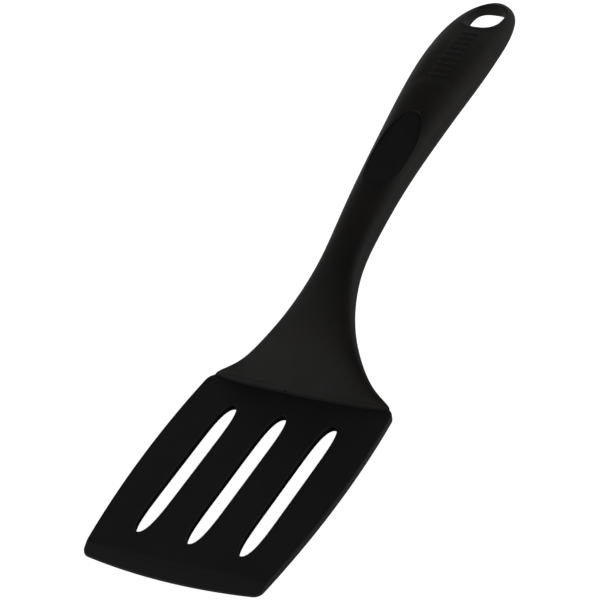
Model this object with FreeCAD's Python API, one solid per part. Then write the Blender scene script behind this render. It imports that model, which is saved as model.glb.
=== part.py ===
import FreeCAD, Part
import math
import os

# Slotted grill spatula of heat-proof nylon, in millimetres.
# The blade lies flat on the XY plane with its leading edge towards -Y. The handle climbs out of
# the blade's heel towards +Y and levels off at the hanging eye. Every piece is symmetric about
# the plane X = 0. The origin is on the blade's underside, at the middle of its heel.
#
#   blade       flat slotted plate with a bevelled leading edge and a tongue that bends up
#   core        stiff bar moulded over the tongue's end, hidden inside the neck and the grip
#   handle      skin moulded over the tongue and the core: shoulder with its lip, neck, grip, eye
#   thumb_rest  oval pad let into the top of the grip

# ------------------------------------------------------------------ driving dimensions
BLADE_THICKNESS = 2.7
BLADE_LENGTH = 105.0          # heel to the middle of the leading edge
BLADE_TIP_HALF = 35.8         # half width at the leading edge's corners
BLADE_BELLY_HALF = 40.3       # half width where the blade is widest
BLADE_BELLY_Y = -36.0
BLADE_HEEL_HALF = 38.6
HEEL_Y = 2.5                  # where the flat plate ends inside the shoulder
TIP_CROWN = 3.2               # the leading edge's middle runs this far past its corners
TIP_CORNER_R = 3.0
ROOT_CORNER_R = 5.5
EDGE_THICKNESS = 0.9          # of the leading edge, once bevelled
EDGE_BEVEL = 5.5              # width of the bevel on the blade's top
BEVEL_SWEEP_DEG = 40.0        # wide enough to pass both corners of the leading edge

SLOT_COUNT = 3
SLOT_PITCH = 21.0
SLOT_HALF_WIDTH = 3.5
SLOT_LENGTH = 73.7
SLOT_MIDDLE_Y = -50.0
SLOT_FULLNESS = 6.2           # how blunt the spindle-shaped slot's ends are

TONGUE_THICKNESS = 2.6
TONGUE_START_Y = -1.0
TONGUE_END_Y = 46.0
TONGUE_ROOT_HALF = 22.0
TONGUE_STRAP_HALF = 5.0       # half width of the tongue's straight end
TONGUE_STRAP_Y = 24.0         # where the straight end begins
TONGUE_STEPS = 10
LOCK_HOLE_R = 2.6
LOCK_HOLES = [(-8.0, 13.0), (8.0, 13.0), (0.0, 22.0), (0.0, 33.0), (0.0, 40.5)]

# The handle's sections, square to its centre line:
# (distance from the heel, height of the centre line, half width, thickness)
STATIONS = [
    (-6.0, -4.4, 41.0, 5.0),
    (-1.0, 0.4, 38.2, 5.3),
    (3.0, 4.2, 33.0, 5.7),
    (7.0, 8.1, 26.8, 6.2),
    (13.0, 13.7, 20.6, 7.0),
    (20.0, 18.8, 15.8, 8.0),
    (30.0, 24.5, 11.6, 9.2),
    (43.0, 30.5, 8.9, 10.3),
    (60.0, 36.5, 8.8, 11.2),
    (80.0, 41.9, 9.7, 12.2),
    (103.0, 46.2, 11.2, 13.2),
    (127.0, 49.7, 13.1, 13.8),
    (148.0, 51.8, 14.5, 12.8),
    (163.0, 52.7, 14.7, 10.6),
    (174.0, 53.0, 14.1, 8.4),
    (183.0, 53.1, 12.4, 6.8),
    (188.5, 53.0, 10.4, 6.0),
    (192.5, 52.9, 7.8, 5.2),
    (195.2, 52.8, 4.6, 4.2),
    (196.4, 52.8, 1.6, 2.8),
]
SECTION_FULLNESS = 2.4        # 2 is an ellipse, more is squarer
SECTION_POINTS = 24
LIP_Y = -0.6                  # the lip's middle, on top of the blade
LIP_BOW_R = 280.0             # the lip curves back towards its ends

EYE_Y = 183.1
EYE_HALF_WIDTH = 7.2          # at the hole's throat
EYE_HALF_LENGTH = 9.0
EYE_FULLNESS = 2.6
EYE_THROAT_HALF = 2.1         # half height of the throat, between the two rounded rims
EYE_FLARE = 0.6               # how far the rims open at the handle's faces
EYE_FLARE_OUT = 2.0           # and a little beyond them
EYE_BEYOND = 1.5

CORE_START_Y = 27.0
CORE_END_Y = 166.0
CORE_SECTIONS = 9
CORE_WALL = 2.7               # thickness of the skin over the core
CORE_WINDOWS_Y = [66.0, 90.0, 114.0, 138.0]
CORE_WINDOW_HALF_WIDTH = 2.2
CORE_WINDOW_HALF_LENGTH = 5.0

THUMB_Y = 94.0
THUMB_HALF_WIDTH = 7.6
THUMB_HALF_LENGTH = 20.5
SCOOP_R = 180.0               # the pad's face is hollowed lengthways to this radius
SCOOP_DEPTH = 1.7             # of its middle, below the grip's crown
PAD_THICKNESS = 1.3
PAD_FLOOR = 1.0               # skin left between the pad and the core

OVAL_FULLNESS = 2.2           # of the thumb rest and the core's windows
FAR = 120.0                   # long enough to pass through everything


# ------------------------------------------------------------------ curves and outlines
def rounded_outline(half_u, half_v, fullness_u, fullness_v, count):
    """Points of |u / half_u| ** fullness_u + |v / half_v| ** fullness_v = 1, as (u, v) pairs."""
    points = []
    for i in range(count):
        angle = 2 * math.pi * i / count
        c = math.cos(angle)
        s = math.sin(angle)
        u = half_u * math.copysign(abs(c) ** (2 / fullness_u), c)
        v = half_v * math.copysign(abs(s) ** (2 / fullness_v), s)
        points.append((u, v))
    return points


def closed_spline(points):
    """A smooth closed wire through the points."""
    curve = Part.BSplineCurve()
    curve.interpolate(Points=points, PeriodicFlag=True)
    return Part.Wire([curve.toShape()])


def open_spline(points):
    curve = Part.BSplineCurve()
    curve.interpolate(Points=points)
    return curve


def arc_through(a, b, c):
    return Part.Arc(a, b, c).toShape()


def line(a, b):
    return Part.LineSegment(a, b).toShape()


def mirrored(point):
    return FreeCAD.Vector(-point.x, point.y, point.z)


def flat_oval(x, y, z, half_x, half_y, fullness_x, fullness_y):
    """A closed oval wire lying at height z."""
    outline = rounded_outline(half_x, half_y, fullness_x, fullness_y, 32)
    return closed_spline([FreeCAD.Vector(x + u, y + v, z) for u, v in outline])


def upright(wire, height):
    """A post standing on a flat wire."""
    return Part.Face(wire).extrude(FreeCAD.Vector(0, 0, height))


SPINE = open_spline([FreeCAD.Vector(0, y, z) for y, z, half_width, thickness in STATIONS])


def spine_point(y):
    """The handle's centre line at distance y."""
    level = Part.Plane(FreeCAD.Vector(0, y, 0), FreeCAD.Vector(0, 1, 0))
    hit = SPINE.intersect(level)[0][0]
    return FreeCAD.Vector(hit.X, hit.Y, hit.Z)


def spine_up(point):
    """The direction square to the centre line and to X."""
    tangent = SPINE.tangent(SPINE.parameter(point))[0]
    return FreeCAD.Vector(0, -tangent.z, tangent.y)


def between(y, column):
    """One column of STATIONS at distance y, joined up in straight lines."""
    for low, high in zip(STATIONS, STATIONS[1:]):
        if low[0] <= y <= high[0]:
            share = (y - low[0]) / (high[0] - low[0])
            return low[column] + share * (high[column] - low[column])
    raise ValueError("y is off the handle")


def section(y, half_width, thickness):
    """A rounded section, square to the centre line at distance y."""
    point = spine_point(y)
    up = spine_up(point)
    full = SECTION_FULLNESS
    outline = rounded_outline(half_width, thickness / 2, full, full, SECTION_POINTS)
    return closed_spline([point + FreeCAD.Vector(u, 0, 0) + up * v for u, v in outline])


# ------------------------------------------------------------------ thumb rest
def thumb_post():
    """An upright oval post through the top half of the grip."""
    foot_z = spine_point(THUMB_Y - THUMB_HALF_LENGTH).z
    outline = flat_oval(0, THUMB_Y, foot_z, THUMB_HALF_WIDTH, THUMB_HALF_LENGTH,
                        OVAL_FULLNESS, OVAL_FULLNESS)
    return upright(outline, FAR)


def thumb_scoop(below):
    """A great roller lying across the grip: its underside is the pad's face, or runs below it."""
    point = spine_point(THUMB_Y)
    rise = between(THUMB_Y, 3) / 2 - SCOOP_DEPTH + SCOOP_R
    end = point + spine_up(point) * rise - FreeCAD.Vector(FAR / 2, 0, 0)
    return Part.makeCylinder(SCOOP_R + below, FAR, end, FreeCAD.Vector(1, 0, 0))


def make_thumb_rest(body):
    bedded = thumb_post().common(thumb_scoop(PAD_THICKNESS))
    return bedded.common(body).cut(thumb_scoop(0))


# ------------------------------------------------------------------ blade
def blade_plate():
    corner = FreeCAD.Vector(BLADE_TIP_HALF, TIP_CROWN - BLADE_LENGTH, 0)
    tip = FreeCAD.Vector(0, -BLADE_LENGTH, 0)
    belly = FreeCAD.Vector(BLADE_BELLY_HALF, BLADE_BELLY_Y, 0)
    heel = FreeCAD.Vector(BLADE_HEEL_HALF, HEEL_Y, 0)
    outline = Part.Wire([
        arc_through(mirrored(corner), tip, corner),
        arc_through(corner, belly, heel),
        line(heel, mirrored(heel)),
        arc_through(mirrored(heel), mirrored(belly), mirrored(corner)),
    ])
    plate = upright(outline, BLADE_THICKNESS)
    plate = round_corners(plate, corner.y, TIP_CORNER_R)
    return round_corners(plate, heel.y, ROOT_CORNER_R)


def round_corners(plate, y, radius):
    """Round the plate's two upright corner edges that stand at y."""
    corners = []
    for edge in plate.Edges:
        box = edge.BoundBox
        if box.ZLength > BLADE_THICKNESS / 2 and abs(box.Center.y - y) < 0.01:
            corners.append(edge)
    return plate.makeFillet(radius, corners)


def leading_bevel():
    """The wedge taken off the blade's top, following the leading edge's arc."""
    radius = (BLADE_TIP_HALF ** 2 + TIP_CROWN ** 2) / (2 * TIP_CROWN)
    slope = (BLADE_THICKNESS - EDGE_THICKNESS) / EDGE_BEVEL
    clear = 2.0
    back_y = -BLADE_LENGTH + EDGE_BEVEL
    front_y = -BLADE_LENGTH - clear
    profile = [
        FreeCAD.Vector(0, back_y, BLADE_THICKNESS),
        FreeCAD.Vector(0, front_y, EDGE_THICKNESS - slope * clear),
        FreeCAD.Vector(0, front_y, BLADE_THICKNESS + clear),
        FreeCAD.Vector(0, back_y, BLADE_THICKNESS + clear),
    ]
    wedge = Part.Face(Part.makePolygon(profile + profile[:1]))
    centre = FreeCAD.Vector(0, -BLADE_LENGTH + radius, 0)
    axis = FreeCAD.Vector(0, 0, 1)
    wedge.rotate(centre, axis, -BEVEL_SWEEP_DEG / 2)
    return wedge.revolve(centre, axis, BEVEL_SWEEP_DEG)


def tongue_band():
    """The tongue's side view, made a solid far wider than the blade."""
    upper = []
    lower = []
    for i in range(TONGUE_STEPS + 1):
        y = TONGUE_START_Y + (TONGUE_END_Y - TONGUE_START_Y) * i / TONGUE_STEPS
        point = spine_point(y)
        up = spine_up(point)
        upper.append(point + up * (TONGUE_THICKNESS / 2))
        lower.append(point - up * (TONGUE_THICKNESS / 2))
    side = Part.Wire([
        open_spline(upper).toShape(),
        line(upper[-1], lower[-1]),
        open_spline(lower).toShape(),
        line(lower[0], upper[0]),
    ])
    band = Part.Face(side).extrude(FreeCAD.Vector(2 * FAR, 0, 0))
    band.translate(FreeCAD.Vector(-FAR, 0, 0))
    return band


def tongue():
    """The strap that bends up out of the heel, with holes that lock the mouldings over it."""
    right = [
        FreeCAD.Vector(TONGUE_ROOT_HALF, TONGUE_START_Y - 1, 0),
        FreeCAD.Vector(TONGUE_STRAP_HALF, TONGUE_STRAP_Y, 0),
        FreeCAD.Vector(TONGUE_STRAP_HALF, TONGUE_END_Y + 1, 0),
    ]
    left = [mirrored(point) for point in reversed(right)]
    plan = Part.makePolygon(right + left + right[:1])
    strap = tongue_band().common(upright(plan, FAR))
    for x, y in LOCK_HOLES:
        point = spine_point(y)
        up = spine_up(point)
        foot = point + FreeCAD.Vector(x, 0, 0) - up * TONGUE_THICKNESS
        strap = strap.cut(Part.makeCylinder(LOCK_HOLE_R, 2 * TONGUE_THICKNESS, foot, up))
    return strap


def make_blade():
    plate = blade_plate().cut(leading_bevel())
    for i in range(SLOT_COUNT):
        x = (i - (SLOT_COUNT - 1) / 2) * SLOT_PITCH
        mouth = flat_oval(x, SLOT_MIDDLE_Y, -1, SLOT_HALF_WIDTH, SLOT_LENGTH / 2, 2, SLOT_FULLNESS)
        plate = plate.cut(upright(mouth, BLADE_THICKNESS + 2))
    return plate.fuse(tongue()).removeSplitter()


# ------------------------------------------------------------------ core
def make_core(blade):
    """The bar in the middle of the neck and grip, forked over the tongue's end."""
    sections = []
    for i in range(CORE_SECTIONS):
        y = CORE_START_Y + (CORE_END_Y - CORE_START_Y) * i / (CORE_SECTIONS - 1)
        half_width = between(y, 2) - CORE_WALL
        thickness = between(y, 3) - 2 * CORE_WALL
        sections.append(section(y, half_width, thickness))
    bar = Part.makeLoft(sections, True, False)
    for y in CORE_WINDOWS_Y:
        window = flat_oval(0, y, 0, CORE_WINDOW_HALF_WIDTH, CORE_WINDOW_HALF_LENGTH,
                           OVAL_FULLNESS, OVAL_FULLNESS)
        bar = bar.cut(upright(window, FAR))
    return bar.cut(thumb_scoop(PAD_THICKNESS + PAD_FLOOR)).cut(blade)


# ------------------------------------------------------------------ handle
def handle_body():
    sections = [section(y, half_width, thick) for y, z, half_width, thick in STATIONS]
    return Part.makeLoft(sections, True, False)


def behind_the_lip():
    """The space above the table and behind the lip's bowed front."""
    half = BLADE_BELLY_HALF + 2
    end_y = LIP_Y + LIP_BOW_R - math.sqrt(LIP_BOW_R ** 2 - half ** 2)
    middle = FreeCAD.Vector(0, LIP_Y, 0)
    end = FreeCAD.Vector(half, end_y, 0)
    far = FreeCAD.Vector(half, 2 * FAR, 0)
    outline = Part.Wire([
        arc_through(mirrored(end), middle, end),
        line(end, far),
        line(far, mirrored(far)),
        line(mirrored(far), mirrored(end)),
    ])
    return upright(outline, FAR)


def eye_hole():
    """The hanging eye's hole, opening out at both of its rims."""
    middle_z = spine_point(EYE_Y).z
    face = between(EYE_Y, 3) / 2
    wires = []
    for height, flare in [
        (-face - EYE_BEYOND, EYE_FLARE_OUT),
        (-face, EYE_FLARE),
        (-EYE_THROAT_HALF, 0.0),
        (EYE_THROAT_HALF, 0.0),
        (face, EYE_FLARE),
        (face + EYE_BEYOND, EYE_FLARE_OUT),
    ]:
        wires.append(flat_oval(0, EYE_Y, middle_z + height, EYE_HALF_WIDTH + flare,
                               EYE_HALF_LENGTH + flare, EYE_FULLNESS, EYE_FULLNESS))
    return Part.makeLoft(wires, True, False)


def make_handle(body, blade, core):
    recess = thumb_post().common(thumb_scoop(PAD_THICKNESS))
    skin = body.common(behind_the_lip())
    return skin.cut(recess).cut(eye_hole()).cut(blade).cut(core)


# ------------------------------------------------------------------ build
blade = make_blade()
core = make_core(blade)
body = handle_body()

os.makedirs("parts", exist_ok=True)
for name, shape in [
    ("blade", blade),
    ("core", core),
    ("handle", make_handle(body, blade, core)),
    ("thumb_rest", make_thumb_rest(body)),
]:
    shape.exportStep("parts/" + name + ".step")
    print(name, shape.isValid(), len(shape.Solids), "solid", round(shape.Volume), "mm3")
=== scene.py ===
import math

import bmesh
import bpy
import numpy as np
from mathutils import Matrix, Quaternion, Vector
from mathutils.bvhtree import BVHTree
from mathutils.geometry import delaunay_2d_cdt


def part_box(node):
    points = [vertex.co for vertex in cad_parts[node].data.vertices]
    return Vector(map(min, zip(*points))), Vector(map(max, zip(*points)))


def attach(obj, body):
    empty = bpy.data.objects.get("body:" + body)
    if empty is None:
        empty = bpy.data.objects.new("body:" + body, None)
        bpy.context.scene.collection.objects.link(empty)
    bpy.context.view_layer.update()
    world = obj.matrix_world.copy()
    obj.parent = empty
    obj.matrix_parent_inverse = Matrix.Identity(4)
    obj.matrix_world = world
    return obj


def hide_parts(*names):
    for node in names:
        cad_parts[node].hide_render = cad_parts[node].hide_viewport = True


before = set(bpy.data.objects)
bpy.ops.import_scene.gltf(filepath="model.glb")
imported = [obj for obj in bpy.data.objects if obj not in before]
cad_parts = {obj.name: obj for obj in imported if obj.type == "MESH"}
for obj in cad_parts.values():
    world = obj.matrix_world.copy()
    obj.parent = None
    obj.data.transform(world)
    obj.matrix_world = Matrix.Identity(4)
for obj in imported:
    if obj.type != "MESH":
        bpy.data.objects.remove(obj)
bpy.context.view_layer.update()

# Slotted grill spatula of heat-proof nylon. Shapes are worked out in millimetres, in the frame's
# own axes, and become metres when a piece is finished.
MM = 0.001
BLADE_BOX = [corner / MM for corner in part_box("blade")]
HANDLE_BOX = [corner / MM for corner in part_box("handle")]

# ------------------------------------------------------------------ blade
BLADE_THICKNESS = 2.7
BLADE_LENGTH = -BLADE_BOX[0].y
BLADE_TIP_HALF = 35.8         # half width at the leading edge's corners
BLADE_BELLY_HALF = BLADE_BOX[1].x
BLADE_BELLY_Y = -36.0         # where the blade is widest
BLADE_HEEL_HALF = 38.6
HEEL_Y = 2.5                  # the back edge, hidden under the handle's lip
TIP_CROWN = 3.2               # the leading edge's middle runs this far past its corners
TIP_CORNER_R = 3.0
TIP_CORNER_CUT = 0.93         # how much of each edge the tip's corner takes, as a share of that
ROOT_CORNER_R = 5.5
EDGE_THICKNESS = 0.9          # of the leading edge, where the bevel has thinned it
EDGE_BEVEL = 5.5              # width of the bevel
BEVEL_SOFTNESS = 0.12
BLADE_RIM = 0.42              # radius of the blade's rounded rims
TIP_ARC_R = (BLADE_TIP_HALF ** 2 + TIP_CROWN ** 2) / (2 * TIP_CROWN)

SLOT_COUNT = 3
SLOT_PITCH = 21.0             # from slot to slot, across the blade
SLOT_HALF_WIDTH = 3.5
SLOT_HALF_LENGTH = 36.85
SLOT_MIDDLE_Y = -50.0
SLOT_FULLNESS = 6.2           # how blunt the spindle-shaped slot's ends are

TONGUE_THICKNESS = 2.6
TONGUE_START_Y = -1.0
TONGUE_END_Y = 46.0
TONGUE_ROOT_HALF = 22.0
TONGUE_STRAP_HALF = 5.0
TONGUE_STRAP_Y = 24.0
TONGUE_FLOOR = 0.25           # it is buried in the plate down to this height
TONGUE_RIM = 0.3
LOCK_HOLE_R = 2.6             # of the holes by which the mouldings lock on to it
LOCK_HOLES = [(-8.0, 13.0), (8.0, 13.0), (0.0, 22.0), (0.0, 33.0), (0.0, 40.5)]

# ------------------------------------------------------------------ handle
# The handle's sections, square to its centre line:
# (distance from the heel, height of the centre line, half width, thickness)
STATIONS = [
    (-6.0, -4.4, 41.0, 5.0),
    (-1.0, 0.4, 38.2, 5.3),
    (3.0, 4.2, 33.0, 5.7),
    (7.0, 8.1, 26.8, 6.2),
    (13.0, 13.7, 20.6, 7.0),
    (20.0, 18.8, 15.8, 8.0),
    (30.0, 24.5, 11.6, 9.2),
    (43.0, 30.5, 8.9, 10.3),
    (60.0, 36.5, 8.8, 11.2),
    (80.0, 41.9, 9.7, 12.2),
    (103.0, 46.2, 11.2, 13.2),
    (127.0, 49.7, 13.1, 13.8),
    (148.0, 51.8, 14.5, 12.8),
    (163.0, 52.7, 14.7, 10.6),
    (174.0, 53.0, 14.1, 8.4),
    (183.0, 53.1, 12.4, 6.8),
    (188.5, 53.0, 10.4, 6.0),
    (192.5, 52.9, 7.8, 5.2),
    (195.2, 52.8, 4.6, 4.2),
    (196.15, 52.8, 2.2, 2.9),
    (196.4, 52.8, 0.0, 0.0),
]
SECTION_FULLNESS = 2.4        # 2 is an ellipse, more is squarer
STARTS_BEFORE = 6             # the station by which every line of the skin has left the blade

LIP_Y = -0.6                  # the lip's front, on the middle line
LIP_HALF = 35.0
LIP_BOW_R = 280.0             # the lip curves back towards its ends
LIP_FOOT_Z = 2.2              # the lip's foot, sunk in the blade
LIP_FILLET = 1.3              # radius where the lip's front meets the blade
FILLET_REACH = 4.0            # the fillet has faded out this far behind the lip's front
LIP_ROUND = 2.8               # how softly the shoulder turns over into the lip's front
LIP_ROUND_LEFT = 0.12         # share of that still there at the lip's ends
LIP_LEAD = 0.25               # share of that by which the turn runs ahead of the lip's front
LIP_EASE = 0.5                # softens the width's turn where a section leaves the lip
LIP_REACH = 40.0              # the sections stop following the lip's bow this far on
BURIED_FLOOR = 0.3            # nothing of the handle reaches lower
BURIED_SOFTNESS = 0.5
FLARE = 1.7                   # how far the shoulder's sides spread where they meet the blade
FLARE_REACH = 3.4             # how far the spread runs back from the lip
FLARE_RISE = 7.0              # and up from the blade

EYE_Y = 183.1
EYE_HALF_WIDTH = 7.2
EYE_HALF_LENGTH = 9.0
EYE_FULLNESS = 2.6
EYE_RIM = 1.1                 # radius of the hanging eye's two rolled rims

THUMB_Y = 94.0
THUMB_HALF_WIDTH = 7.6
THUMB_HALF_LENGTH = 20.5
THUMB_FULLNESS = 2.2
THUMB_RIM = 0.35
SCOOP_R = 180.0               # the pad's face is hollowed lengthways to this radius
SCOOP_DEPTH = 1.7             # of its middle, below the grip's crown
PAD_THICKNESS = 1.3
PAD_RIM = 0.35
PAD_CLEARANCE = 0.06          # all round the pad, and below the crown at its rim

# ------------------------------------------------------------------ small details
SCUFF_Y = -96.0               # the scuffed bevel's back edge, and how far it wanders
SCUFF_WAVER = 3.0
SCUFF_FADE = 1.5              # over how much the scuffs die away there
RIB_COUNT = 9
RIB_FIRST_Y = 138.0
RIB_LAST_Y = 168.0
RIB_LENGTH = 7.6
RIB_WIDTH = 1.5
RIB_HEIGHT = 0.34             # above the dip
RIB_SINK = 0.3                # how deep a rib's middle lies below the dip
PANEL_DEPTH = 0.35            # the ribs stand in a shallow dip, so nothing rises above the crown
PANEL_MARGIN = 7.0            # how far past the ribs it runs out
GATE_X = -6.2                 # a pip on the lip is what is left of the moulding gate
GATE_Y = -0.6
GATE_PIP_R = 0.4

# ------------------------------------------------------------------ mesh spacing
BLADE_POINTS = 620            # round the blade, and so on for the others
SLOT_POINTS = 240
TONGUE_POINTS = 160
LOCK_HOLE_POINTS = 32
OVAL_POINTS = 120
DRAFT_POINTS = 400            # of a slot, before its points are evenly spaced
EDGE_STEPS = 60               # of a blade edge, before the same
CORNER_STEPS = 14             # of a blade corner
TONGUE_EASE = 2               # points on each side that the tongue's corners are averaged over
CREASE_STEPS = 60
CREASE_MARGIN = 1.5           # the bevel's crease stops this far from the blade's sides
BEVEL_CREASE = 0.5            # between the three rows of points along it
RIM_STEPS = 5                 # facets across a rolled rim
RIM_SUPPORT = 0.25            # width of the narrow facets beside it
WINDOW_MARGIN = 1.4           # of re-paved surface round a window's rim
SLIVER = 1e-4                 # in square mm: ground between points that lie in one line

# Points scattered inside a surface: (pitch, how far they keep from its rims)
BLADE_GRID = (3.0, 1.4)
TONGUE_GRID = (2.0, 0.8)
PAD_GRID = (0.8, 1.0)
RECESS_GRID = (1.5, 1.0)
PATCH_GRID = (0.7, 0.7 * 0.7)

AROUND = 160                  # points round a section of the handle
RING_FINE = 0.35              # between sections at the lip and the tail
RING_COARSE = 0.85            # between sections far from them
RING_GROWTH = 0.05            # what the spacing grows by for each mm from there
HALVINGS = 40                 # when the place where a section starts is searched for
CROWN_POINTS = 25             # along the line that the ribs stand on
SKY = 200.0                   # rays that look for the handle's skin start this far off

# ------------------------------------------------------------------ stage, light and camera
TABLE_HALF = 6000.0
TABLE_DROP = 0.2              # the table lies just below the blade
TABLE_GLOW = 1.0
CARD_Z = -0.1                 # the dark cards lie between the blade and the table
ROOM_LIGHT = 0.42             # strength of the light from above and from the sides
BELOW_LIGHT = 0.26            # and of the light from below
BELOW_FROM = -0.7             # heights of a direction between which one passes into the other
BELOW_TO = 0.05
LEFT_SHARE = 1.15             # the room is brighter on the left than on the right
RIGHT_SHARE = 0.7
FLAG_SIDE = (0.756, 0.649, -0.087)     # square to the long run of the dark flag overhead
FLAG_OFFSET = 0.10            # where its middle, its edge and its faded-out edge lie, as cosines
FLAG_HALF = 0.36
FLAG_FADE = 0.62
FLAG_LOW = 0.05               # heights of a direction between which the flag comes in
FLAG_HIGH = 0.42
FLAG_SHARE = 0.06             # of the room's light that it gives back
KEY_PLACE = (900, 200, 350)
KEY_AIM = (0, 60, 20)
KEY_SIZE = (700, 400)
KEY_POWER = 0.35              # in watts
CAMERA_PLACE = (466.103, -704.307, 662.249)
CAMERA_AIM = (-9.831, 26.334, 25.028)
CAMERA_ROLL = -10.1425
CAMERA_LENS = 173.128


# ================================================================== curves and outlines
def natural_spline(at, values):
    """The smooth function through the values, one for each place in at."""
    at = np.array(at, float)
    values = np.array(values, float)
    gaps = np.diff(at)
    slopes = np.diff(values) / gaps
    matrix = np.eye(len(at))
    turn = np.zeros(len(at))
    for i in range(1, len(at) - 1):
        matrix[i, i - 1:i + 2] = gaps[i - 1], 2 * (gaps[i - 1] + gaps[i]), gaps[i]
        turn[i] = 6 * (slopes[i] - slopes[i - 1])
    bend = np.linalg.solve(matrix, turn)

    def value(place):
        i = int(np.clip(np.searchsorted(at, place) - 1, 0, len(gaps) - 1))
        gap = gaps[i]
        low = (at[i + 1] - place) / gap
        high = (place - at[i]) / gap
        curved = (low ** 3 - low) * bend[i] + (high ** 3 - high) * bend[i + 1]
        return float(low * values[i] + high * values[i + 1] + curved * gap ** 2 / 6)

    return value


def at_least(value, floor, softness):
    """The larger of the two, with the corner between them rounded off."""
    return (value + floor + math.sqrt((value - floor) ** 2 + softness ** 2)) / 2


def at_most(value, ceiling, softness):
    """The smaller of the two, with the corner between them rounded off."""
    return -at_least(-value, -ceiling, softness)


def oval(x, y, half_x, half_y, fullness_x, fullness_y, count=OVAL_POINTS):
    """Anticlockwise points of |x / half_x| ** fullness_x + |y / half_y| ** fullness_y = 1."""
    points = []
    for i in range(count):
        angle = 2 * math.pi * i / count
        c = math.cos(angle)
        s = math.sin(angle)
        across = half_x * math.copysign(abs(c) ** (2 / fullness_x), c)
        along = half_y * math.copysign(abs(s) ** (2 / fullness_y), s)
        points.append((x + across, y + along))
    return points


def spaced(points, count):
    """The closed outline again, with its points evenly spaced."""
    ring = np.array(points + points[:1])
    travel = np.concatenate([[0], np.cumsum(np.linalg.norm(np.diff(ring, axis=0), axis=1))])
    places = np.linspace(0, travel[-1], count, endpoint=False)
    return list(zip(np.interp(places, travel, ring[:, 0]), np.interp(places, travel, ring[:, 1])))


def eased(outline, reach):
    """The closed outline with its corners worn round, by averaging each point with its neighbours."""
    ring = np.array(outline)
    total = sum(np.roll(ring, i, axis=0) for i in range(-reach, reach + 1))
    return [tuple(point) for point in total / (2 * reach + 1)]


def inset(outline, distance):
    """The outline moved to its left, which is inwards on one that runs anticlockwise."""
    ring = np.array(outline)
    along = np.roll(ring, -1, axis=0) - np.roll(ring, 1, axis=0)
    left = np.stack([-along[:, 1], along[:, 0]], axis=1)
    left /= np.linalg.norm(left, axis=1)[:, None]
    return [tuple(point) for point in ring + left * distance]


def inside(outlines, points):
    """For each point, whether it lies inside an odd number of the closed outlines."""
    x, y = np.array(points, float).T
    odd = np.zeros(len(x), bool)
    for outline in outlines:
        ring = np.array(outline, float)
        for (x1, y1), (x2, y2) in zip(ring, np.roll(ring, -1, axis=0)):
            if y1 != y2:
                crossing = (x2 - x1) * (y - y1) / (y2 - y1) + x1
                odd ^= ((y1 > y) != (y2 > y)) & (x < crossing)
    return odd


def scattered(outlines, pitch, clearance):
    """Grid points between the outlines, none nearer to them than clearance."""
    ring = np.array([point for outline in outlines for point in outline])
    low = ring.min(axis=0)
    high = ring.max(axis=0)
    rows = np.arange(low[1], high[1], pitch)
    grid = [(x, y) for x in np.arange(low[0], high[0], pitch) for y in rows]
    grid = np.array(grid)[inside(outlines, grid)]
    return [tuple(p) for p in grid if np.hypot(*(ring - p).T).min() > clearance]


class Arc:
    """The circular arc from a to c by way of b."""

    def __init__(self, a, b, c):
        rows = np.array([[2 * (p[0] - a[0]), 2 * (p[1] - a[1])] for p in (b, c)])
        squares = [p[0] ** 2 + p[1] ** 2 for p in (a, b, c)]
        self.centre = np.linalg.solve(rows, [squares[1] - squares[0], squares[2] - squares[0]])
        self.radius = math.dist(self.centre, a)
        self.first = math.atan2(a[1] - self.centre[1], a[0] - self.centre[0])
        self.last = math.atan2(c[1] - self.centre[1], c[0] - self.centre[0])
        self.length = self.radius * abs(self.last - self.first)

    def point(self, travel):
        """The point that lies this far along the arc."""
        angle = self.first + (self.last - self.first) * travel / self.length
        return self.centre + self.radius * np.array([math.cos(angle), math.sin(angle)])

    def heading(self, travel):
        """The arc's direction at that point."""
        step = self.length * 1e-4
        ahead = self.point(travel + step) - self.point(travel - step)
        return ahead / np.linalg.norm(ahead)


def corner_bend(start, heading_in, end, heading_out):
    """A round corner from start to end, as points of a cubic curve."""
    turn = math.acos(float(np.clip(heading_in @ heading_out, -1, 1)))
    side = math.dist(start, end) / 2 / math.cos(turn / 2)
    reach = side * (4 / 3) * math.tan(turn / 4) / math.tan(turn / 2)
    pulls = [start, start + heading_in * reach, end - heading_out * reach, end]
    points = []
    for i in range(CORNER_STEPS + 1):
        t = i / CORNER_STEPS
        weights = [(1 - t) ** 3, 3 * t * (1 - t) ** 2, 3 * t * t * (1 - t), t ** 3]
        points.append(sum(weight * pull for weight, pull in zip(weights, pulls)))
    return points


# ================================================================== mesh building
def ring_of(bm, outline, height):
    """New vertices along an outline, at the height that a function gives for each."""
    return [bm.verts.new((x, y, height(x, y))) for x, y in outline]


def belt(bm, inner, outer):
    """Faces between two rings of as many vertices, which look to the right of the first."""
    for i in range(len(inner)):
        j = (i + 1) % len(inner)
        bm.faces.new((inner[i], outer[i], outer[j], inner[j]))


def pave(bm, rings, spare, faces_up):
    """Fill the ground between closed rings of vertices with triangles, through the spare ones."""
    verts = [vert for ring in rings for vert in ring] + spare
    edges = []
    for ring in rings:
        start = len(edges)
        edges += [(start + i, start + (i + 1) % len(ring)) for i in range(len(ring))]
    flat = [vert.co.xy for vert in verts]
    places, _, triangles, origins, _, _ = delaunay_2d_cdt(flat, edges, [], 0, 1e-7, True)
    corners = [[places[i] for i in triangle] for triangle in triangles]
    middles = [(a + b + c) / 3 for a, b, c in corners]
    areas = [(b - a).cross(c - a) / 2 for a, b, c in corners]
    outlines = [[vert.co.xy for vert in ring] for ring in rings]
    for triangle, kept, area in zip(triangles, inside(outlines, middles), areas):
        if kept and abs(area) > SLIVER:
            corners = [verts[origins[i][0]] for i in triangle]
            bm.faces.new(corners if faces_up else corners[::-1])


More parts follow.
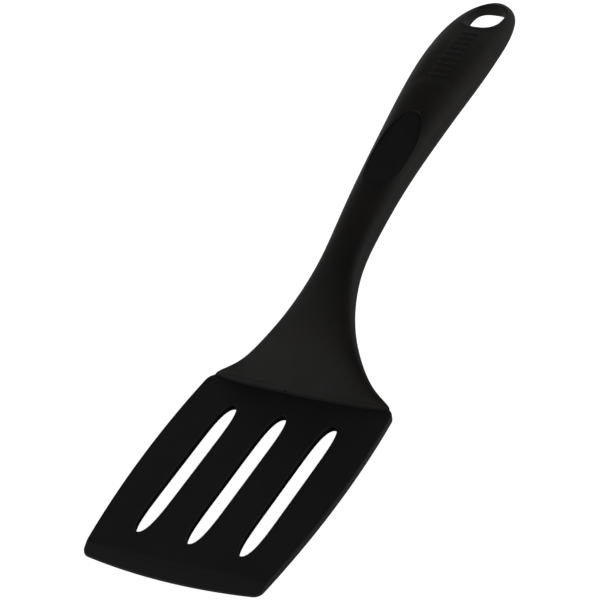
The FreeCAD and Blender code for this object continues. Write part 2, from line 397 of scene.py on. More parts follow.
def slab(bm, outlines, top, bottom, rim, spare_points):
    """A plate with rolled rims. Its outline runs anticlockwise, and its holes' clockwise."""
    quarter = [math.pi / 2 * i / RIM_STEPS for i in range(RIM_STEPS + 1)]
    profile = [(rim + RIM_SUPPORT, 0.0)]
    profile += [(rim * (1 - math.sin(a)), rim * (1 - math.cos(a))) for a in quarter]
    upper = []
    lower = []
    for outline in outlines:
        rings = []
        for inward, depth in profile:
            rings.append(ring_of(bm, inset(outline, inward), lambda x, y: top(x, y) - depth))
        for inward, depth in reversed(profile):
            rings.append(ring_of(bm, inset(outline, inward), lambda x, y: bottom(x, y) + depth))
        for ring, following in zip(rings, rings[1:]):
            belt(bm, ring, following)
        upper.append(rings[0])
        lower.append(rings[-1])
    pave(bm, upper, ring_of(bm, spare_points, top), True)
    pave(bm, lower, ring_of(bm, spare_points, bottom), False)


def sleeve(bm, outline_at, profile):
    """Rings of vertices down a hole: profile holds (how far out, height function) pairs."""
    rings = [ring_of(bm, outline_at(out), height) for out, height in profile]
    for ring, following in zip(rings, rings[1:]):
        belt(bm, following, ring)
    return rings


def ring_round(faces):
    """The closed ring of vertices round a patch of faces, from the same vertex on every run."""
    patch = set(faces)
    edges = [edge for face in faces for edge in face.edges if not patch.issuperset(edge.link_faces)]
    edge = edges[0]
    start, vert = edge.verts
    ring = [start]
    while vert is not start:
        ring.append(vert)
        edges.remove(edge)
        edge = next(other for other in vert.link_edges if other in edges)
        vert = edge.other_vert(vert)
    return ring


def finished(name, bm, material):
    """The mesh as an object at the origin, in metres, smooth and with its faces outwards."""
    bmesh.ops.recalc_face_normals(bm, faces=bm.faces)
    bmesh.ops.scale(bm, vec=(MM, MM, MM), verts=bm.verts)
    mesh = bpy.data.meshes.new(name)
    bm.to_mesh(mesh)
    bm.free()
    mesh.shade_smooth()
    mesh.materials.append(material)
    piece = bpy.data.objects.new(name, mesh)
    bpy.context.scene.collection.objects.link(piece)
    return piece


# ================================================================== the handle's own geometry
station_gaps = [math.dist(a[:3], b[:3]) for a, b in zip(STATIONS, STATIONS[1:])]
STATION_TRAVEL = np.concatenate([[0], np.cumsum(station_gaps)])
station_y, station_z, station_half, station_thick = (
    natural_spline(STATION_TRAVEL, column) for column in zip(*STATIONS)
)
LEVEL_STATIONS = STATIONS[:-2]
spine_z = natural_spline([s[0] for s in LEVEL_STATIONS], [s[1] for s in LEVEL_STATIONS])
thickness_at = natural_spline([s[0] for s in LEVEL_STATIONS], [s[3] for s in LEVEL_STATIONS])


def spine_up(y):
    """The direction square to the centre line and to X, as (y, z)."""
    step = 0.05
    rise = (spine_z(y + step) - spine_z(y - step)) / (2 * step)
    size = math.hypot(1, rise)
    return -rise / size, 1 / size


def on_spine(x, y, height):
    """The point that stands off the centre line by x and by height."""
    up_y, up_z = spine_up(y)
    return Vector((x, y + up_y * height, spine_z(y) + up_z * height))


def lip_front(x):
    """The Y of the lip's front, which bows back towards its ends."""
    return LIP_Y + LIP_BOW_R - math.sqrt(LIP_BOW_R ** 2 - x ** 2)


def scoop_face(y):
    """Height of the thumb pad's hollow before it meets the crown."""
    centre = on_spine(0, THUMB_Y, thickness_at(THUMB_Y) / 2 - SCOOP_DEPTH + SCOOP_R)
    return centre.z - math.sqrt(SCOOP_R ** 2 - (y - centre.y) ** 2)


def skin_place(travel, across, up):
    """The skin's place before the lip shapes it. Across and up run from -1 to 1 over a section."""
    y = station_y(travel)
    up_y, up_z = spine_up(min(y, LEVEL_STATIONS[-1][0]))
    height = up * station_thick(travel) / 2
    return across * station_half(travel), y + up_y * height, station_z(travel) + up_z * height


def past_lip_front(travel, across, up):
    """How far behind the lip's front the skin is, before the lip shapes it."""
    x, y, _ = skin_place(travel, across, up)
    return y - lip_front(x)


def panel_depth(x, y):
    """How far the crown dips under the ribs."""
    past_side = abs(x) - RIB_LENGTH / 2
    past_end = abs(y - (RIB_FIRST_Y + RIB_LAST_Y) / 2) - (RIB_LAST_Y - RIB_FIRST_Y) / 2 - RIB_WIDTH
    share = min(max(1 - max(past_side, past_end) / PANEL_MARGIN, 0.0), 1.0)
    return PANEL_DEPTH * share * share * (3 - 2 * share)


def crossing(rising, low, high):
    """Where a rising function passes zero."""
    for _ in range(HALVINGS):
        middle = (low + high) / 2
        if rising(middle) < 0:
            low = middle
        else:
            high = middle
    return low


def lip_shaped(travel, across, up, lip_travel):
    """The skin's place once the lip's front, its round and its fillet to the blade are formed."""
    x = skin_place(at_least(travel, lip_travel, LIP_EASE), across, up)[0]
    _, y, z = skin_place(travel, across, up)
    softness = LIP_ROUND * max(LIP_ROUND_LEFT, 1 - (x / LIP_HALF) ** 2)
    y = at_least(y, lip_front(x) - softness * LIP_LEAD, softness)
    z = at_least(z, BURIED_FLOOR, BURIED_SOFTNESS)
    share = min(max(1 - (z - BLADE_THICKNESS) / LIP_FILLET, 0.0), 1.0)
    near_lip = max(0.0, 1 - (y - lip_front(x)) / FILLET_REACH)
    y -= LIP_FILLET * (1 - math.sqrt(1 - share ** 2)) * near_lip
    if up > 0:
        z -= panel_depth(x, y)
    past_lip = max(y - lip_front(x), 0.0) / FLARE_REACH
    above_plate = max(z - BLADE_THICKNESS, 0.0) / FLARE_RISE
    x += FLARE * across * math.exp(-past_lip ** 2 - above_plate ** 2)
    return x, min(y, HANDLE_BOX[1].y), z


def section_travels(start, end):
    """Where the sections stand: close together near the lip and the tail."""
    travels = []
    travel = start
    while travel < end - RING_FINE / 2:
        travels.append(travel)
        room = min(travel - start, end - travel)
        travel += min(RING_COARSE, RING_FINE + RING_GROWTH * room)
    return travels


def handle_tube(bm):
    """The handle's outer skin, closed at both ends, with no windows yet."""
    outline = oval(0, 0, 1, 1, SECTION_FULLNESS, SECTION_FULLNESS, AROUND)
    low = STATION_TRAVEL[0]
    high = STATION_TRAVEL[STARTS_BEFORE]
    starts = []
    lips = []
    for across, up in outline:
        top = abs(up)
        starts.append(crossing(lambda t: skin_place(t, across, top)[2] - LIP_FOOT_Z, low, high))
        lips.append(crossing(lambda t: past_lip_front(t, across, top), low, high))
    first = min(starts)
    rings = []
    for travel in section_travels(first, float(STATION_TRAVEL[-1])):
        fade = max(0.0, 1 - (travel - first) / LIP_REACH) ** 2
        places = [lip_shaped(travel + (start - first) * fade, across, up, lip)
                  for (across, up), start, lip in zip(outline, starts, lips)]
        rings.append([bm.verts.new(place) for place in places])
    for ring, following in zip(rings, rings[1:]):
        belt(bm, ring, following)
    foot = rings[0]
    for i in range(AROUND // 2):
        corners = [foot[i], foot[i + 1], foot[-i - 1], foot[-i]]
        bm.faces.new(list(dict.fromkeys(corners)))
    tail = bm.verts.new((0, HANDLE_BOX[1].y, STATIONS[-1][1]))
    last = rings[-1]
    for i in range(AROUND):
        bm.faces.new((last[(i + 1) % AROUND], last[i], tail))


def cut_window(bm, outline, facing):
    """Take the faces over an outline off the top (1) or the bottom (-1), and return the edge left."""
    bm.normal_update()
    faces = [face for face in bm.faces if face.normal.z * facing > 0]
    middles = [face.calc_center_median().xy for face in faces]
    taken = [face for face, hit in zip(faces, inside([outline], middles)) if hit]
    edge = ring_round(taken)
    bmesh.ops.delete(bm, geom=taken, context="FACES")
    return edge


def skin_height(tree, facing):
    """A function for the height of the handle's uncut skin, seen from above (1) or below (-1)."""
    def height(x, y):
        return tree.ray_cast(Vector((x, y, SKY * facing)), Vector((0, 0, -facing)))[0].z
    return height


def rolled(rim, height, facing):
    """The profile of a rim that rolls over from the skin into a hole."""
    pairs = [(rim + RIM_SUPPORT, height)]
    for i in range(RIM_STEPS + 1):
        angle = math.pi / 2 * i / RIM_STEPS
        depth = facing * rim * (1 - math.cos(angle))
        pairs.append((rim * (1 - math.sin(angle)), lambda x, y, depth=depth: height(x, y) - depth))
    return pairs


def join_window(bm, edge, rim_ring, height, faces_up):
    """Pave the skin again between a window's ragged edge and its clean rim."""
    outlines = [[vert.co.xy for vert in ring] for ring in (edge, rim_ring)]
    spare = ring_of(bm, scattered(outlines, *PATCH_GRID), height)
    pave(bm, [edge, rim_ring], spare, faces_up)


def eye_outline(out):
    half_x = EYE_HALF_WIDTH + out
    half_y = EYE_HALF_LENGTH + out
    return oval(0, EYE_Y, half_x, half_y, EYE_FULLNESS, EYE_FULLNESS)


def thumb_outline(out):
    half_x = THUMB_HALF_WIDTH + out
    half_y = THUMB_HALF_LENGTH + out
    return oval(0, THUMB_Y, half_x, half_y, THUMB_FULLNESS, THUMB_FULLNESS)


def thumb_bed(x, y):
    """Height of the recess's floor, which follows the pad's hollow."""
    return scoop_face(y) - PAD_THICKNESS


def cut_eye_and_recess(bm, over, under):
    """The hanging eye, open from top to bottom, and the thumb rest's recess."""
    eye_margin = eye_outline(EYE_RIM + WINDOW_MARGIN)
    eye_over = cut_window(bm, eye_margin, 1)
    eye_under = cut_window(bm, eye_margin, -1)
    recess_over = cut_window(bm, thumb_outline(THUMB_RIM + WINDOW_MARGIN), 1)

    profile = rolled(EYE_RIM, over, 1) + rolled(EYE_RIM, under, -1)[::-1]
    rings = sleeve(bm, eye_outline, profile)
    join_window(bm, eye_over, rings[0], over, True)
    join_window(bm, eye_under, rings[-1], under, False)

    rings = sleeve(bm, thumb_outline, rolled(THUMB_RIM, over, 1) + [(0.0, thumb_bed)])
    join_window(bm, recess_over, rings[0], over, True)
    floor = [vert.co.xy for vert in rings[-1]]
    pave(bm, [rings[-1]], ring_of(bm, scattered([floor], *RECESS_GRID), thumb_bed), True)


# ================================================================== pieces
def blade_outline():
    """The blade in plan, anticlockwise, with its four corners rounded."""
    corner_y = TIP_CROWN - BLADE_LENGTH
    tip = Arc((-BLADE_TIP_HALF, corner_y), (0, -BLADE_LENGTH), (BLADE_TIP_HALF, corner_y))
    side = Arc((BLADE_TIP_HALF, corner_y), (BLADE_BELLY_HALF, BLADE_BELLY_Y),
               (BLADE_HEEL_HALF, HEEL_Y))
    cut = TIP_CORNER_R * TIP_CORNER_CUT
    tip_end = tip.length - cut
    side_end = side.length - ROOT_CORNER_R
    side_run = side.length - cut - ROOT_CORNER_R
    back_corner = np.array([BLADE_HEEL_HALF - ROOT_CORNER_R, HEEL_Y])
    inwards = np.array([-1.0, 0.0])
    right = [tip.point(tip.length * (0.5 + i / EDGE_STEPS)) for i in range(EDGE_STEPS // 2 - 1)]
    right += corner_bend(tip.point(tip_end), tip.heading(tip_end), side.point(cut), side.heading(cut))
    right += [side.point(cut + side_run * i / EDGE_STEPS) for i in range(1, EDGE_STEPS)]
    right += corner_bend(side.point(side_end), side.heading(side_end), back_corner, inwards)
    right = [tuple(point) for point in right]
    left = [(-x, y) for x, y in reversed(right[1:])]
    return spaced(right + left, BLADE_POINTS)


def from_leading_edge(x, y):
    """How far behind the leading edge's arc a place on the blade is."""
    return TIP_ARC_R - math.dist((x, y), (0, TIP_ARC_R - BLADE_LENGTH))


def blade_top(x, y):
    """Height of the blade's top face, which the bevel thins towards the leading edge."""
    slope = (BLADE_THICKNESS - EDGE_THICKNESS) / EDGE_BEVEL
    bevel = EDGE_THICKNESS + slope * from_leading_edge(x, y)
    return at_most(bevel, BLADE_THICKNESS, BEVEL_SOFTNESS)


def bevel_rows():
    """Places along the crease behind the bevel, so that it shades crisply."""
    places = []
    for back in (-BEVEL_CREASE, 0.0, BEVEL_CREASE):
        radius = TIP_ARC_R - EDGE_BEVEL - back
        reach = math.asin((BLADE_TIP_HALF - CREASE_MARGIN) / radius)
        for angle in np.linspace(-reach, reach, CREASE_STEPS):
            places.append((radius * math.sin(angle), TIP_ARC_R - BLADE_LENGTH - radius * math.cos(angle)))
    return places


def slot_outlines():
    """The slots in plan, anticlockwise."""
    middles = [(i - (SLOT_COUNT - 1) / 2) * SLOT_PITCH for i in range(SLOT_COUNT)]
    drafts = [oval(x, SLOT_MIDDLE_Y, SLOT_HALF_WIDTH, SLOT_HALF_LENGTH, 2, SLOT_FULLNESS, DRAFT_POINTS)
              for x in middles]
    return [spaced(draft, SLOT_POINTS) for draft in drafts]


def make_blade(material):
    """The slotted plate, in one piece with the tongue that the handle is moulded over."""
    bm = bmesh.new()
    outlines = [blade_outline()] + [slot[::-1] for slot in slot_outlines()]
    crease = bevel_rows()
    grid = [place for place in scattered(outlines, *BLADE_GRID)
            if abs(from_leading_edge(*place) - EDGE_BEVEL) > 2 * BEVEL_CREASE]
    slab(bm, outlines, blade_top, lambda x, y: 0.0, BLADE_RIM, crease + grid)
    add_tongue(bm)
    return finished("blade_plate", bm, material)


def add_tongue(bm):
    """The strap that bends up out of the heel inside the handle, with its lock holes."""
    strap = bmesh.new()
    right = [(TONGUE_ROOT_HALF, TONGUE_START_Y), (TONGUE_STRAP_HALF, TONGUE_STRAP_Y),
             (TONGUE_STRAP_HALF, TONGUE_END_Y)]
    corners = right + [(-x, y) for x, y in reversed(right)]
    outlines = [spaced(eased(spaced(corners, TONGUE_POINTS), TONGUE_EASE), TONGUE_POINTS)]
    for x, y in LOCK_HOLES:
        outlines.append(oval(x, y, LOCK_HOLE_R, LOCK_HOLE_R, 2, 2, LOCK_HOLE_POINTS)[::-1])
    half = TONGUE_THICKNESS / 2
    spare = scattered(outlines, *TONGUE_GRID)
    slab(strap, outlines, lambda x, y: half, lambda x, y: -half, TONGUE_RIM, spare)
    for vert in strap.verts:
        vert.co = on_spine(vert.co.x, vert.co.y, vert.co.z)
        vert.co.z = at_least(vert.co.z, TONGUE_FLOOR, BURIED_SOFTNESS)
    mesh = bpy.data.meshes.new("tongue")
    strap.to_mesh(mesh)
    strap.free()
    bm.from_mesh(mesh)
    bpy.data.meshes.remove(mesh)


def make_handle(bm, over, under, material):
    """The handle's skin with its eye and recess cut, and the gate's pip on the lip."""
    cut_eye_and_recess(bm, over, under)
    pip = Vector((GATE_X, GATE_Y, over(GATE_X, GATE_Y)))
    bmesh.ops.create_icosphere(bm, subdivisions=3, radius=GATE_PIP_R, matrix=Matrix.Translation(pip))
    return finished("handle_skin", bm, material)


def make_thumb_pad(over, material):
    """The soft pad: hollowed lengthways, flat across, and never proud of the grip."""
    def face(x, y):
        return at_most(scoop_face(y), over(x, y) - PAD_CLEARANCE, PAD_CLEARANCE)

    def back(x, y):
        return thumb_bed(x, y) + PAD_CLEARANCE

    bm = bmesh.new()
    outline = thumb_outline(-PAD_CLEARANCE)
    slab(bm, [outline], face, back, PAD_RIM, scattered([outline], *PAD_GRID))
    return finished("thumb_pad", bm, material)


# ================================================================== ribs, by Geometry Nodes
def rib_tree():
    """Rounded bars spaced along a curve, each lying across it."""
    tree = bpy.data.node_groups.new("ribs_along_a_crown", "GeometryNodeTree")
    interface = tree.interface
    interface.new_socket("Crown", in_out="INPUT", socket_type="NodeSocketGeometry")
    interface.new_socket("Count", in_out="INPUT", socket_type="NodeSocketInt")
    for name in ("Length", "Width", "Height"):
        interface.new_socket(name, in_out="INPUT", socket_type="NodeSocketFloat")
    interface.new_socket("Finish", in_out="INPUT", socket_type="NodeSocketMaterial")
    interface.new_socket("Ribs", in_out="OUTPUT", socket_type="NodeSocketGeometry")
    given = tree.nodes.new("NodeGroupInput").outputs
    ball = add(tree, "GeometryNodeMeshUVSphere", values={"Segments": 20, "Rings": 12, "Radius": 1.0})
    bar_size = add(tree, "ShaderNodeCombineXYZ", links={"X": given["Width"], "Y": given["Width"],
                                                        "Z": given["Height"]})
    flat_ball = add(tree, "GeometryNodeTransform", links={"Geometry": ball.outputs["Mesh"],
                                                          "Scale": bar_size.outputs[0]})
    offset = add(tree, "ShaderNodeCombineXYZ", links={"X": given["Length"]})
    back = add(tree, "ShaderNodeVectorMath", {"operation": "SCALE"}, {"Scale": -0.5},
               {0: offset.outputs[0]})
    ends = add(tree, "GeometryNodeMeshLine", {"mode": "OFFSET"}, {"Count": 2},
               {"Start Location": back.outputs[0], "Offset": offset.outputs[0]})
    pair = add(tree, "GeometryNodeInstanceOnPoints", links={"Points": ends.outputs[0],
                                                            "Instance": flat_ball.outputs[0]})
    solid = add(tree, "GeometryNodeRealizeInstances", links={"Geometry": pair.outputs[0]})
    hull = add(tree, "GeometryNodeConvexHull", links={"Geometry": solid.outputs[0]})
    places = add(tree, "GeometryNodeCurveToPoints", {"mode": "COUNT"},
                 links={"Curve": given["Crown"], "Count": given["Count"]})
    row = add(tree, "GeometryNodeInstanceOnPoints", links={"Points": places.outputs["Points"],
                                                           "Instance": hull.outputs[0]})
    real = add(tree, "GeometryNodeRealizeInstances", links={"Geometry": row.outputs[0]})
    smooth = add(tree, "GeometryNodeSetShadeSmooth", links={"Geometry": real.outputs[0]})
    painted = add(tree, "GeometryNodeSetMaterial", links={"Geometry": smooth.outputs[0],
                                                          "Material": given["Finish"]})
    add(tree, "NodeGroupOutput", links={"Ribs": painted.outputs[0]})
    return tree


def make_ribs(material):
    """Raised ribs across the end of the grip."""
    crown = bpy.data.curves.new("crown", "CURVE")
    crown.dimensions = "3D"
    line = crown.splines.new("POLY")
    ys = np.linspace(RIB_FIRST_Y, RIB_LAST_Y, CROWN_POINTS)
    line.points.add(len(ys) - 1)
    for point, y in zip(line.points, ys):
        place = on_spine(0, y, thickness_at(y) / 2 - RIB_SINK - PANEL_DEPTH)
        point.co = (*(place * MM), 1)
    guide = bpy.data.objects.new("crown", crown)
    bpy.context.scene.collection.objects.link(guide)
    modifier = guide.modifiers.new("ribs", "NODES")
    modifier.node_group = rib_tree()
    inputs = {item.name: item.identifier for item in modifier.node_group.interface.items_tree
              if item.in_out == "INPUT"}
    modifier[inputs["Count"]] = RIB_COUNT
    modifier[inputs["Length"]] = (RIB_LENGTH - RIB_WIDTH) * MM
    modifier[inputs["Width"]] = RIB_WIDTH / 2 * MM
    modifier[inputs["Height"]] = (RIB_HEIGHT + RIB_SINK) * MM
    modifier[inputs["Finish"]] = material
    evaluated = guide.evaluated_get(bpy.context.evaluated_depsgraph_get())
    mesh = bpy.data.meshes.new_from_object(evaluated)
    bpy.data.objects.remove(guide)
    piece = bpy.data.objects.new("grip_ribs", mesh)
    bpy.context.scene.collection.objects.link(piece)
    return piece


# ================================================================== materials
def srgb(text):
    """A hex colour as linear red, green, blue and alpha."""
    channels = [int(text[i:i + 2], 16) / 255 for i in (1, 3, 5)]
    linear = [c / 12.92 if c <= 0.04045 else ((c + 0.055) / 1.055) ** 2.4 for c in channels]
    return (*linear, 1.0)


def add(tree, kind, settings=None, values=None, links=None):
    """Add a node: settings are its own properties, values and links are for its input sockets."""
    made = tree.nodes.new(kind)
    for name, value in (settings or {}).items():
        setattr(made, name, value)
    for socket, value in (values or {}).items():
        made.inputs[socket].default_value = value
    for socket, source in (links or {}).items():
        tree.links.new(source, made.inputs[socket])
    return made


def per_mm(size):
    """A texture scale, in metres, for features of a size in millimetres."""
    return 1 / (size * MM)


def new_material(name, ior, specular):
    """A material with its shader, and the coordinates of the piece that it is on."""
    material = bpy.data.materials.new(name)
    material.use_nodes = True
    tree = material.node_tree
    shader = tree.nodes["Principled BSDF"]
    shader.inputs["IOR"].default_value = ior
    shader.inputs["Specular IOR Level"].default_value = specular
    where = add(tree, "ShaderNodeTexCoord").outputs["Object"]
    return material, tree, shader, where


def set_relief(tree, shader, height, depth):
    """Bump whose full depth is given in millimetres."""
    bump = add(tree, "ShaderNodeBump", values={"Strength": 1.0, "Distance": depth * MM},
               links={"Height": height})
    tree.links.new(bump.outputs[0], shader.inputs["Normal"])


def spark_eroded_nylon():
    """Black nylon 66 off a spark-eroded mould: matt, with a pebbled grain and faint flow lines."""
    material, tree, shader, where = new_material("spark_eroded_black_nylon", 1.53, 0.5)
    drawn_out = add(tree, "ShaderNodeMapping", values={"Scale": (1, 1 / 9, 1)}, links={"Vector": where})
    flow = add(tree, "ShaderNodeTexNoise", values={"Scale": per_mm(3), "Detail": 3.0},
               links={"Vector": drawn_out.outputs[0]})
    cloud = add(tree, "ShaderNodeTexNoise", values={"Scale": per_mm(28)}, links={"Vector": where})
    both = add(tree, "ShaderNodeMath", {"operation": "MULTIPLY_ADD"}, {1: 0.35},
               {0: flow.outputs["Fac"], 2: cloud.outputs["Fac"]})
    tone = add(tree, "ShaderNodeMapRange", values={"From Min": 0.45, "From Max": 0.9},
               links={"Value": both.outputs[0]})
    body = add(tree, "ShaderNodeMix", {"data_type": "RGBA"}, {6: srgb("#171717"), 7: srgb("#1f1f1f")},
               {0: tone.outputs[0]})
    # Scraping a pan scuffs the bevel paler than the rest of the plate.
    along = add(tree, "ShaderNodeSeparateXYZ", links={0: where}).outputs["Y"]
    scuffs = add(tree, "ShaderNodeMath", {"operation": "MULTIPLY_ADD"}, {1: SCUFF_WAVER * MM},
                 {0: cloud.outputs["Fac"], 2: along}).outputs[0]
    scuffed = add(tree, "ShaderNodeMapRange",
                  values={"From Min": SCUFF_Y * MM, "From Max": (SCUFF_Y + SCUFF_FADE) * MM,
                          "To Min": 1.0, "To Max": 0.0},
                  links={"Value": scuffs}).outputs[0]
    worn = add(tree, "ShaderNodeMix", {"data_type": "RGBA"}, {7: srgb("#2b2b2b")},
               {0: scuffed, 6: body.outputs[2]})
    tree.links.new(worn.outputs[2], shader.inputs["Base Color"])
    # A real spark-eroded grain is about 0.15 mm. It is drawn at 0.6 mm, as fine as still shows.
    grain = add(tree, "ShaderNodeTexNoise", values={"Scale": per_mm(0.6), "Detail": 3.0, "Roughness": 0.6},
                links={"Vector": where})
    matt = add(tree, "ShaderNodeMapRange",
               values={"From Min": 0.3, "From Max": 0.7, "To Min": 0.46, "To Max": 0.58},
               links={"Value": grain.outputs["Fac"]})
    tree.links.new(matt.outputs[0], shader.inputs["Roughness"])
    set_relief(tree, shader, grain.outputs["Fac"], 0.012)
    return material


def satin_nylon():
    """Black nylon 66 off a blasted mould: satin, a little browner, rubbed smoother by hands."""
    material, tree, shader, where = new_material("satin_black_nylon", 1.53, 0.5)
    drawn_out = add(tree, "ShaderNodeMapping", values={"Scale": (1, 1 / 3, 1)}, links={"Vector": where})
    cloud = add(tree, "ShaderNodeTexNoise", values={"Scale": per_mm(22), "Detail": 3.0},
                links={"Vector": drawn_out.outputs[0]})
    tone = add(tree, "ShaderNodeMapRange", values={"From Min": 0.3, "From Max": 0.7},
               links={"Value": cloud.outputs["Fac"]})
    body = add(tree, "ShaderNodeMix", {"data_type": "RGBA"}, {6: srgb("#1c1a19"), 7: srgb("#252220")},
               {0: tone.outputs[0]})
    tree.links.new(body.outputs[2], shader.inputs["Base Color"])
    # The blasted grain is about 0.1 mm. It is drawn at 0.5 mm, as fine as still shows.
    grain = add(tree, "ShaderNodeTexNoise", values={"Scale": per_mm(0.5), "Detail": 3.0, "Roughness": 0.6},
                links={"Vector": where})
    rubbed = add(tree, "ShaderNodeTexNoise", values={"Scale": per_mm(14)}, links={"Vector": where})
    share = add(tree, "ShaderNodeMath", {"operation": "MULTIPLY_ADD"}, {1: 0.4},
                {0: grain.outputs["Fac"], 2: rubbed.outputs["Fac"]})
    satin = add(tree, "ShaderNodeMapRange",
                values={"From Min": 0.5, "From Max": 0.9, "To Min": 0.46, "To Max": 0.57},
                links={"Value": share.outputs[0]})
    tree.links.new(satin.outputs[0], shader.inputs["Roughness"])
    set_relief(tree, shader, grain.outputs["Fac"], 0.008)
    return material


def soft_touch_elastomer():
    """Soft-touch thermoplastic elastomer: dead matt and slightly velvety, with fine pores."""
    material, tree, shader, where = new_material("soft_touch_black_elastomer", 1.5, 0.4)
    cloud = add(tree, "ShaderNodeTexNoise", values={"Scale": per_mm(9)}, links={"Vector": where})
    tone = add(tree, "ShaderNodeMapRange", values={"From Min": 0.3, "From Max": 0.7},
               links={"Value": cloud.outputs["Fac"]})
    body = add(tree, "ShaderNodeMix", {"data_type": "RGBA"}, {6: srgb("#1b1b1b"), 7: srgb("#222222")},
               {0: tone.outputs[0]})
    tree.links.new(body.outputs[2], shader.inputs["Base Color"])
    # The pores are about 0.2 mm apart. They are drawn 0.7 mm apart, as close as still shows.
    pores = add(tree, "ShaderNodeTexVoronoi", values={"Scale": per_mm(0.7)}, links={"Vector": where})
    velvet = add(tree, "ShaderNodeMapRange",
                 values={"From Min": 0.3, "From Max": 0.7, "To Min": 0.74, "To Max": 0.62},
                 links={"Value": pores.outputs["Distance"]})
    tree.links.new(velvet.outputs[0], shader.inputs["Roughness"])
    set_relief(tree, shader, pores.outputs["Distance"], 0.015)
    return material


def glass_filled_nylon():
    """Glass-filled nylon: charcoal grey, with short pale fibres showing in its skin."""
    material, tree, shader, where = new_material("glass_filled_grey_nylon", 1.55, 0.5)
    drawn_out = add(tree, "ShaderNodeMapping", values={"Scale": (1, 1 / 4, 1)}, links={"Vector": where})
    fibres = add(tree, "ShaderNodeTexVoronoi", values={"Scale": per_mm(0.9)},
                 links={"Vector": drawn_out.outputs[0]}).outputs["Distance"]
    tone = add(tree, "ShaderNodeMapRange", values={"From Min": 0.05, "From Max": 0.22},
               links={"Value": fibres})
    body = add(tree, "ShaderNodeMix", {"data_type": "RGBA"}, {6: srgb("#55544f"), 7: srgb("#2e2e2d")},
               {0: tone.outputs[0]})
    tree.links.new(body.outputs[2], shader.inputs["Base Color"])
    resin = add(tree, "ShaderNodeMapRange",
                values={"From Min": 0.3, "From Max": 0.7, "To Min": 0.45, "To Max": 0.6},
                links={"Value": fibres})
    tree.links.new(resin.outputs[0], shader.inputs["Roughness"])
    set_relief(tree, shader, fibres, 0.02)
    return material


# ================================================================== stage, light and camera
def light_table():
    """A plain white table, lit from within. It is clear from below, so the underside can be seen."""
    bm = bmesh.new()
    bmesh.ops.create_grid(bm, x_segments=1, y_segments=1, size=TABLE_HALF)
    material = bpy.data.materials.new("white_table")
    material.use_nodes = True
    tree = material.node_tree
    shader = tree.nodes["Principled BSDF"]
    shader.inputs["Base Color"].default_value = srgb("#f4f4f4")
    shader.inputs["Roughness"].default_value = 0.9
    shader.inputs["Specular IOR Level"].default_value = 0.0
    shader.inputs["Emission Color"].default_value = srgb("#ffffff")
    shader.inputs["Emission Strength"].default_value = TABLE_GLOW
    clear = add(tree, "ShaderNodeBsdfTransparent")
    facing = add(tree, "ShaderNodeNewGeometry").outputs["Backfacing"]
    both = add(tree, "ShaderNodeMixShader", links={0: facing, 1: shader.outputs[0], 2: clear.outputs[0]})
    tree.links.new(both.outputs[0], tree.nodes["Material Output"].inputs["Surface"])
    bmesh.ops.translate(bm, vec=(0, 0, -TABLE_DROP), verts=bm.verts)
    table = finished("table", bm, material)
    table.visible_diffuse = False
    table.visible_glossy = False


def shade_cards():
    """Dark cards in the gap under the slots, so that the slots' walls see darkness below."""
    bm = bmesh.new()
    for outline in slot_outlines():
        bm.faces.new(ring_of(bm, outline, lambda x, y: CARD_Z))
    material = bpy.data.materials.new("black_card")
    material.use_nodes = True
    shader = material.node_tree.nodes["Principled BSDF"]
    shader.inputs["Base Color"].default_value = srgb("#1c1c1c")
    shader.inputs["Roughness"].default_value = 1.0
    shader.inputs["Specular IOR Level"].default_value = 0.0
    cards = finished("shade_cards", bm, material)
    cards.visible_camera = False
    cards.visible_shadow = False


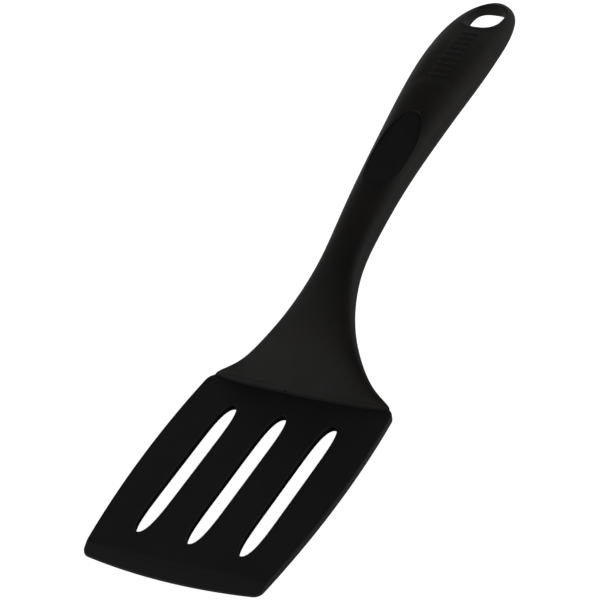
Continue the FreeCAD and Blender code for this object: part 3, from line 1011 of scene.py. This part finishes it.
def studio_world():
    """A soft grey room, dimmer below and to the right, with a long dark flag overhead."""
    world = bpy.data.worlds.new("studio")
    bpy.context.scene.world = world
    world.use_nodes = True
    tree = world.node_tree
    direction = add(tree, "ShaderNodeTexCoord").outputs["Generated"]
    parts = add(tree, "ShaderNodeSeparateXYZ", links={0: direction}).outputs
    smooth = {"interpolation_type": "SMOOTHSTEP"}
    room = add(tree, "ShaderNodeMapRange", smooth,
               {"From Min": BELOW_FROM, "From Max": BELOW_TO,
                "To Min": BELOW_LIGHT, "To Max": ROOM_LIGHT},
               {"Value": parts["Z"]}).outputs[0]
    sides = add(tree, "ShaderNodeMapRange",
                values={"From Min": -1.0, "From Max": 1.0, "To Min": LEFT_SHARE, "To Max": RIGHT_SHARE},
                links={"Value": parts["X"]}).outputs[0]
    room = add(tree, "ShaderNodeMath", {"operation": "MULTIPLY"}, links={0: room, 1: sides}).outputs[0]
    beside = add(tree, "ShaderNodeVectorMath", {"operation": "DOT_PRODUCT"}, {1: FLAG_SIDE},
                 {0: direction}).outputs["Value"]
    beside = add(tree, "ShaderNodeMath", {"operation": "ADD"}, {1: FLAG_OFFSET}, {0: beside}).outputs[0]
    beside = add(tree, "ShaderNodeMath", {"operation": "ABSOLUTE"}, links={0: beside}).outputs[0]
    past_side = add(tree, "ShaderNodeMapRange", smooth, {"From Min": FLAG_HALF, "From Max": FLAG_FADE},
                    {"Value": beside}).outputs[0]
    past_end = add(tree, "ShaderNodeMapRange", smooth,
                   {"From Min": FLAG_LOW, "From Max": FLAG_HIGH, "To Min": 1.0, "To Max": 0.0},
                   {"Value": parts["Z"]}).outputs[0]
    clear = add(tree, "ShaderNodeMath", {"operation": "MAXIMUM"},
                links={0: past_side, 1: past_end}).outputs[0]
    flag = add(tree, "ShaderNodeMath", {"operation": "MULTIPLY_ADD"}, {1: 1 - FLAG_SHARE, 2: FLAG_SHARE},
               {0: clear}).outputs[0]
    both = add(tree, "ShaderNodeMath", {"operation": "MULTIPLY"}, links={0: room, 1: flag}).outputs[0]
    tree.links.new(both, tree.nodes["Background"].inputs["Strength"])
    tree.nodes["Background"].inputs["Color"].default_value = srgb("#fffdfb")


def soft_box(name, place, target, size, power):
    """A rectangular lamp, turned towards its target."""
    light = bpy.data.lights.new(name, "AREA")
    light.shape = "RECTANGLE"
    light.size = size[0] * MM
    light.size_y = size[1] * MM
    light.energy = power
    lamp = bpy.data.objects.new(name, light)
    lamp.location = Vector(place) * MM
    lamp.rotation_mode = "QUATERNION"
    lamp.rotation_quaternion = (Vector(target) - Vector(place)).to_track_quat("-Z", "Y")
    bpy.context.scene.collection.objects.link(lamp)


def make_camera():
    """From the right, well above the blade's tip, rolled a little."""
    data = bpy.data.cameras.new("camera")
    data.lens = CAMERA_LENS
    data.sensor_width = 36.0
    camera = bpy.data.objects.new("camera", data)
    camera.location = Vector(CAMERA_PLACE) * MM
    camera.rotation_mode = "QUATERNION"
    level = (Vector(CAMERA_AIM) - Vector(CAMERA_PLACE)).to_track_quat("-Z", "Y")
    camera.rotation_quaternion = level @ Quaternion((0, 0, 1), math.radians(CAMERA_ROLL))
    bpy.context.scene.collection.objects.link(camera)
    bpy.context.scene.camera = camera


# ================================================================== the scene
nylon = spark_eroded_nylon()
satin = satin_nylon()
elastomer = soft_touch_elastomer()
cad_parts["core"].data.materials.clear()
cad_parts["core"].data.materials.append(glass_filled_nylon())

skin = bmesh.new()
handle_tube(skin)
uncut = BVHTree.FromBMesh(skin)
skin_top = skin_height(uncut, 1)
skin_bottom = skin_height(uncut, -1)

pieces = [
    (make_blade(nylon), "blade", "blade_nylon"),
    (make_handle(skin, skin_top, skin_bottom, satin), "handle", "handle_nylon"),
    (make_thumb_pad(skin_top, elastomer), "thumb_rest", "soft_touch"),
    (make_ribs(satin), None, "handle_nylon"),
]
for piece, node, slot in pieces:
    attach(piece, "root")
    if node:
        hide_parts(node)

light_table()
shade_cards()
studio_world()
soft_box("key", KEY_PLACE, KEY_AIM, KEY_SIZE, KEY_POWER)
make_camera()
bpy.context.scene.view_settings.view_transform = "Standard"
